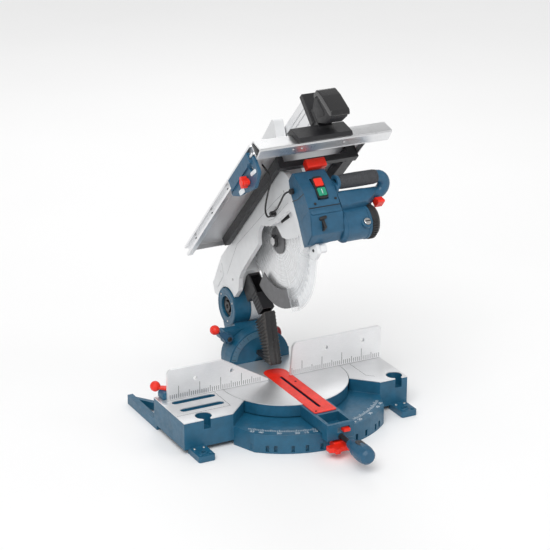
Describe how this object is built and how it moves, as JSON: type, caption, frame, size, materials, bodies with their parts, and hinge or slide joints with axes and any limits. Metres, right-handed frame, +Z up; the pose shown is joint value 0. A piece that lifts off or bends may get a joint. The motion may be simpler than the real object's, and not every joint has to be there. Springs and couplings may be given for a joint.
{
  "type": "combination mitre and table saw",
  "caption": "Bench-top mitre saw with tilting head, swinging turntable, blade guards, fence, and a small rip table with hood and fence carried on the head.",
  "frame": {"origin": "on the bench under the centre of the turntable, where the base's centre boss rests", "axes": "+X to the operator's right, -Y to the front, +Z up"},
  "size_m": [0.6117, 0.7376, 0.8423],
  "materials": {
    "blue_casting": "satin paint over a die casting",
    "machined_alloy": "machined and lightly brushed",
    "fence_alloy": "fine brushed",
    "arm_alloy": "light silver satin paint",
    "extrusion": "anodised extrusion",
    "sheet_alloy": "rolled sheet",
    "steel": "turned steel",
    "black_steel": "blackened",
    "grey_steel": "grey phosphated",
    "blade_steel": "ground steel with circular brushing",
    "blue_plastic": "moulded, fine texture",
    "black_plastic": "moulded, fine texture",
    "grey_plastic": "moulded",
    "gloss_black": "polished moulding",
    "red_plastic": "moulded",
    "red_button": "moulded",
    "green_button": "moulded",
    "rubber": "soft",
    "grip_rubber": "stippled",
    "clear_plastic": "clear moulding"
  },
  "bodies": {
    "base": {"base_casting": "blue_casting", "left_table_plate": "machined_alloy", "right_table_plate": "machined_alloy", "fence_right": "fence_alloy", "fence_bracket_left": "blue_casting", "fence_bracket_right": "blue_casting", "centre_pivot_bolt": "steel"},
    "left_fence": {"fence_left": "fence_alloy"},
    "fence_clamp": {"fence_clamp_lever": "red_plastic"},
    "turntable": {"turntable_casting": "blue_casting", "turntable_top": "machined_alloy", "kerf_plate": "red_plastic", "angle_pointer": "red_plastic", "bevel_scale": "machined_alloy"},
    "mitre_lock": {"mitre_lock_knob": "blue_plastic", "mitre_lock_rod": "black_steel"},
    "detent_lever": {"detent_release_lever": "red_plastic"},
    "tilt": {"tilt_casting": "blue_casting", "head_pivot_bolt": "steel", "dust_bellows": "black_plastic"},
    "bevel_clamp": {"bevel_clamp_lever": "blue_casting", "bevel_clamp_ball": "red_plastic"},
    "bevel_pin": {"bevel_stop_pin": "red_plastic"},
    "head": {"head_arm": "arm_alloy", "belt_cover": "black_plastic", "drive_belt": "rubber", "motor_housing": "blue_plastic", "motor_end_cap": "black_plastic", "brush_cap": "steel", "head_box": "blue_plastic", "switch_bezel": "black_plastic", "cable_gland": "black_plastic", "cable_clip": "black_plastic", "control_cable": "rubber", "handle_frame": "blue_plastic", "handle_grip": "grip_rubber", "upper_chute": "black_plastic"},
    "blade": {"blade": "blade_steel", "outer_flange": "grey_steel", "inner_flange": "grey_steel", "arbor_shaft": "steel"},
    "motor_rotor": {"motor_rotor": "steel"},
    "front_guard": {"front_guard": "clear_plastic"},
    "rear_guard": {"rear_guard": "grey_plastic"},
    "off_button": {"off_button": "red_button"},
    "on_button": {"on_button": "green_button"},
    "release_bar": {"release_bar": "red_plastic"},
    "trigger": {"release_trigger": "red_plastic"},
    "rip_table": {"rip_table_sheet": "sheet_alloy", "rip_table_frame": "black_plastic", "front_rail": "extrusion", "left_rail": "extrusion", "blade_hood": "arm_alloy", "riving_knife": "steel"},
    "rip_fence": {"rip_fence": "extrusion", "rip_fence_base": "black_plastic"},
    "rip_clamp": {"rip_fence_lever": "gloss_black"},
    "gauge": {"angle_gauge": "blue_plastic"},
    "gauge_knob": {"gauge_knob": "red_plastic"}
  },
  "joints": [
    {"name": "mitre", "type": "hinge", "parent": "base", "child": "turntable", "pos_m": [0, 0, 0], "axis": [0, 0, 1], "range_deg": [-45, 45]},
    {"name": "left_fence_slide", "type": "slide", "parent": "base", "child": "left_fence", "axis": [-1, 0, 0], "range_m": [0, 0.05]},
    {"name": "fence_clamp_turn", "type": "hinge", "parent": "base", "child": "fence_clamp", "pos_m": [-0.296, 0.03, 0.103], "axis": [0, 0, 1], "range_deg": [-40, 0]},
    {"name": "mitre_lock_turn", "type": "hinge", "parent": "turntable", "child": "mitre_lock", "pos_m": [0, -0.29, 0.046], "axis": [0, -1, 0], "range_deg": [-120, 120]},
    {"name": "detent_release", "type": "hinge", "parent": "turntable", "child": "detent_lever", "pos_m": [0, -0.296, 0.032], "axis": [1, 0, 0], "range_deg": [0, 5], "stiffness_Nm_per_rad": 2, "springref_deg": -14.32},
    {"name": "bevel", "type": "hinge", "parent": "turntable", "child": "tilt", "pos_m": [0, 0, 0.081], "axis": [0, 1, 0], "range_deg": [-45, 0]},
    {"name": "bevel_clamp_turn", "type": "hinge", "parent": "tilt", "child": "bevel_clamp", "pos_m": [-0.078, 0.15, 0.149], "axis": [0, 1, 0], "range_deg": [-50, 20]},
    {"name": "bevel_pin_pull", "type": "slide", "parent": "tilt", "child": "bevel_pin", "axis": [1, 0, 0], "range_m": [0, 0.008], "stiffness_N_per_m": 600, "springref_m": -0.01},
    {"name": "chop", "type": "hinge", "parent": "tilt", "child": "head", "pos_m": [0, 0.228, 0.199], "axis": [1, 0, 0], "range_deg": [0, 45], "stiffness_Nm_per_rad": 55, "springref_deg": -74.48, "deforming": ["dust_bellows"]},
    {"name": "blade_spin", "type": "hinge", "parent": "head", "child": "blade", "pos_m": [0, 0.02117, 0.43411], "axis": [1, 0, 0], "continuous": true},
    {"name": "motor_spin", "type": "hinge", "parent": "head", "child": "motor_rotor", "pos_m": [0, -0.18919, 0.52851], "axis": [1, 0, 0], "continuous": true},
    {"name": "front_guard_swing", "type": "hinge", "parent": "head", "child": "front_guard", "pos_m": [0, 0.02117, 0.43411], "axis": [1, 0, 0], "range_deg": [-61, 1]},
    {"name": "rear_guard_swing", "type": "hinge", "parent": "head", "child": "rear_guard", "pos_m": [0, 0.02117, 0.43411], "axis": [1, 0, 0], "range_deg": [-1, 51]},
    {"name": "off_press", "type": "slide", "parent": "head", "child": "off_button", "axis": [0, 0.7071, -0.7071], "range_m": [0, 0.0025], "stiffness_N_per_m": 700, "springref_m": -0.002},
    {"name": "on_press", "type": "slide", "parent": "head", "child": "on_button", "axis": [0, 0.7071, -0.7071], "range_m": [0, 0.0025], "stiffness_N_per_m": 700, "springref_m": -0.002},
    {"name": "release_bar_press", "type": "hinge", "parent": "head", "child": "release_bar", "pos_m": [0, -0.09656, 0.6268], "axis": [1, 0, 0], "range_deg": [0, 3], "stiffness_Nm_per_rad": 3, "springref_deg": -11.46},
    {"name": "trigger_squeeze", "type": "hinge", "parent": "head", "child": "trigger", "pos_m": [0.15, -0.18141, 0.57872], "axis": [1, 0, 0], "range_deg": [0, 8], "stiffness_Nm_per_rad": 1.5, "springref_deg": -17.19},
    {"name": "table_height", "type": "slide", "parent": "head", "child": "rip_table", "axis": [0, 0.7071, 0.7071], "range_m": [0, 0.05]},
    {"name": "rip_fence_slide", "type": "slide", "parent": "rip_table", "child": "rip_fence", "axis": [1, 0, 0], "range_m": [0, 0.1]},
    {"name": "rip_clamp_lift", "type": "hinge", "parent": "rip_fence", "child": "rip_clamp", "pos_m": [0.034, -0.11778, 0.78943], "axis": [1, 0, 0], "range_deg": [-60, 0]},
    {"name": "gauge_slide", "type": "slide", "parent": "rip_table", "child": "gauge", "axis": [0, 0.7071, -0.7071], "range_m": [0, 0.15]},
    {"name": "gauge_knob_turn", "type": "hinge", "parent": "gauge", "child": "gauge_knob", "pos_m": [-0.15, -0.11919, 0.64377], "axis": [-1, 0, 0], "range_deg": [-90, 90]}
  ],
  "couplings": [
    {"joint": "motor_spin", "follows": "blade_spin", "ratio": 1.421},
    {"joint": "front_guard_swing", "follows": "chop", "ratio": -1.3333},
    {"joint": "rear_guard_swing", "follows": "chop", "ratio": 1.1111}
  ]
}
